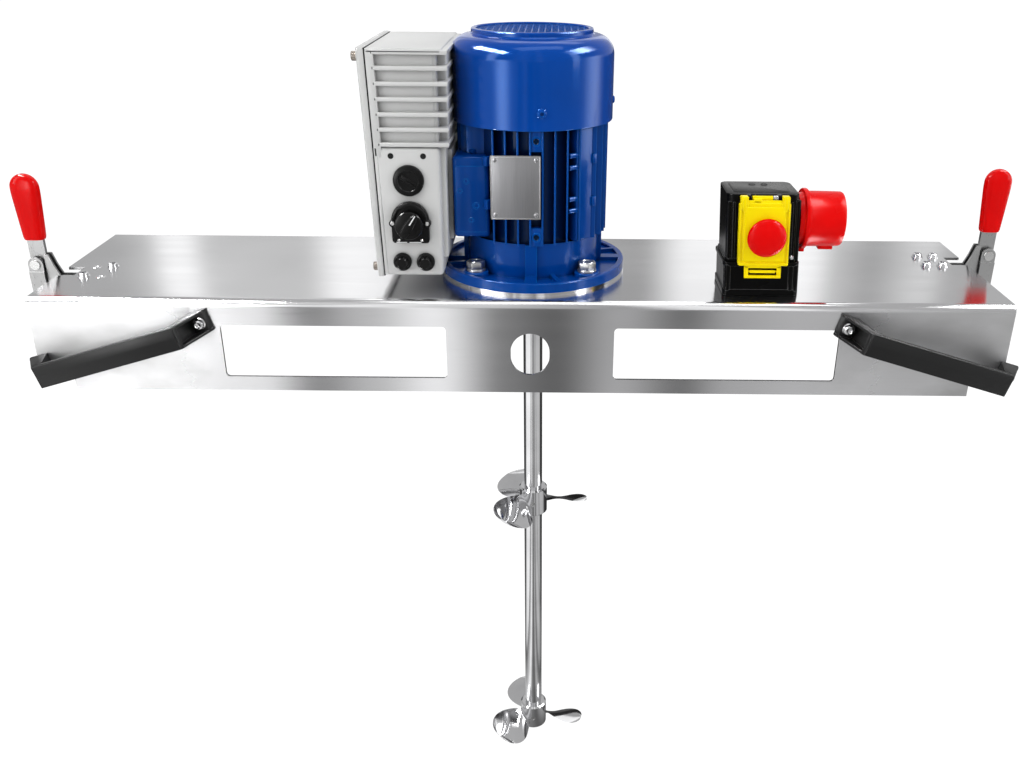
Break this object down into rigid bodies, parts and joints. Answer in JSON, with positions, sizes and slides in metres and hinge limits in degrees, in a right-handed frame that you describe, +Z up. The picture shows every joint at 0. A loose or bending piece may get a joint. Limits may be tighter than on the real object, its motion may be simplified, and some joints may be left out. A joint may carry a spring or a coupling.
{
  "type": "tank agitator",
  "caption": "Steel bridge that clamps across a bulk container, with a flange motor, inverter, switch and inlet, and a long shaft with marine propellers below.",
  "frame": {"origin": "on the stirrer shaft's axis, at the level of the container rails that the stepped corners of the bridge rest on", "axes": "+X along the bridge towards the switch, +Z up along the shaft, -Y out of the side with the controls"},
  "size_m": [1.073, 0.319, 0.907],
  "materials": {
    "stainless": "ground and softly polished stainless steel sheet",
    "bright_stainless": "turned and polished stainless steel",
    "zinc": "zinc plated steel",
    "motor_blue": "cast aluminium with blue satin paint",
    "cowl_blue": "pressed steel with blue satin paint",
    "inverter_grey": "cast aluminium with light grey satin powder coat",
    "plate_grey": "bare anodised plate with no marks",
    "black_plastic": "black moulded nylon",
    "switch_black": "black moulded plastic",
    "yellow_plastic": "yellow moulded plastic",
    "red_plastic": "red moulded plastic",
    "green_plastic": "green moulded plastic",
    "red_grip": "red dipped vinyl",
    "black_rubber": "black rubber",
    "nickel": "nickel plated brass",
    "laminations": "varnished iron laminations and windings"
  },
  "bodies": {
    "bridge": {"bridge_channel": "stainless", "motor_seat_ring": "bright_stainless", "handle_front_left": "black_plastic", "handle_front_right": "black_plastic", "handle_rear_left": "black_plastic", "handle_rear_right": "black_plastic", "handle_screws": "zinc", "clamp_screws": "bright_stainless", "m6_nuts": "bright_stainless", "drive_end_shield": "motor_blue", "flange_bolts": "bright_stainless", "flange_washers": "bright_stainless", "flange_nuts": "bright_stainless", "motor_frame": "motor_blue", "nameplate": "plate_grey", "stator": "laminations", "cowl_screws": "zinc", "fan_end_shield": "motor_blue", "fan_cowl": "cowl_blue", "bearing_outer_rings": "bright_stainless", "terminal_box": "motor_blue", "inverter_housing": "inverter_grey", "inverter_cover": "inverter_grey", "inverter_cover_bolts": "zinc", "sealing_cap": "black_plastic", "selector_base": "black_plastic", "blanking_plugs": "black_plastic", "switch_base": "switch_black", "switch_cover": "switch_black", "inlet_shroud": "red_plastic", "inlet_core": "switch_black", "inlet_pins": "nickel", "left_clamp_ears": "zinc", "left_pivot_pin": "zinc", "right_clamp_ears": "zinc", "right_pivot_pin": "zinc"},
    "drive": {"rotor": "laminations", "motor_shaft": "bright_stainless", "bearing_inner_rings": "bright_stainless", "cooling_fan": "black_plastic", "coupling_sleeve": "bright_stainless", "set_screws": "zinc", "stirrer_shaft": "bright_stainless", "upper_propeller": "bright_stainless", "lower_propeller": "bright_stainless"},
    "left_clamp_lever": {"left_lever": "zinc", "left_grip": "red_grip", "left_hook_pin": "zinc"},
    "left_clamp_hook": {"left_hook": "zinc", "left_jaw_pad": "black_rubber"},
    "right_clamp_lever": {"right_lever": "zinc", "right_grip": "red_grip", "right_hook_pin": "zinc"},
    "right_clamp_hook": {"right_hook": "zinc", "right_jaw_pad": "black_rubber"},
    "speed_selector": {"speed_knob": "black_plastic"},
    "flap": {"switch_flap": "yellow_plastic"},
    "emergency_stop": {"stop_mushroom": "red_plastic"},
    "start": {"start_button": "green_plastic"},
    "stop": {"stop_button": "red_plastic"}
  },
  "joints": [
    {"name": "drive_spin", "type": "hinge", "parent": "bridge", "child": "drive", "pos_m": [0, 0, 0], "axis": [0, 0, 1], "continuous": true},
    {"name": "left_clamp_open", "type": "hinge", "parent": "bridge", "child": "left_clamp_lever", "pos_m": [-0.53, -0.0315, 0.07], "axis": [0, -1, 0], "range_deg": [0, 100]},
    {"name": "left_hook_swing", "type": "hinge", "parent": "left_clamp_lever", "child": "left_clamp_hook", "pos_m": [-0.5325, -0.0315, 0.0876], "axis": [0, -1, 0], "range_deg": [-125, 0]},
    {"name": "right_clamp_open", "type": "hinge", "parent": "bridge", "child": "right_clamp_lever", "pos_m": [0.512, 0.0315, 0.07], "axis": [0, 1, 0], "range_deg": [0, 100]},
    {"name": "right_hook_swing", "type": "hinge", "parent": "right_clamp_lever", "child": "right_clamp_hook", "pos_m": [0.5145, 0.0315, 0.0876], "axis": [0, 1, 0], "range_deg": [-125, 0]},
    {"name": "speed_turn", "type": "hinge", "parent": "bridge", "child": "speed_selector", "pos_m": [-0.121, -0.08125, 0.15], "axis": [0.0209, -0.9998, 0], "range_deg": [-135, 135]},
    {"name": "flap_open", "type": "hinge", "parent": "bridge", "child": "flap", "pos_m": [0.2365, -0.0932, 0.18], "axis": [-1, 0, 0], "range_deg": [0, 110]},
    {"name": "emergency_stop_push", "type": "slide", "parent": "flap", "child": "emergency_stop", "axis": [0, 1, 0], "range_m": [0, 0.0025], "stiffness_N_per_m": 600, "springref_m": -0.001},
    {"name": "start_push", "type": "slide", "parent": "bridge", "child": "start", "axis": [0, 1, 0], "range_m": [0, 0.002], "stiffness_N_per_m": 500, "springref_m": -0.001},
    {"name": "stop_push", "type": "slide", "parent": "bridge", "child": "stop", "axis": [0, 1, 0], "range_m": [0, 0.002], "stiffness_N_per_m": 500, "springref_m": -0.001}
  ],
  "couplings": [
    {"joint": "left_hook_swing", "follows": "left_clamp_open", "ratio": -1.25},
    {"joint": "right_hook_swing", "follows": "right_clamp_open", "ratio": -1.25}
  ]
}
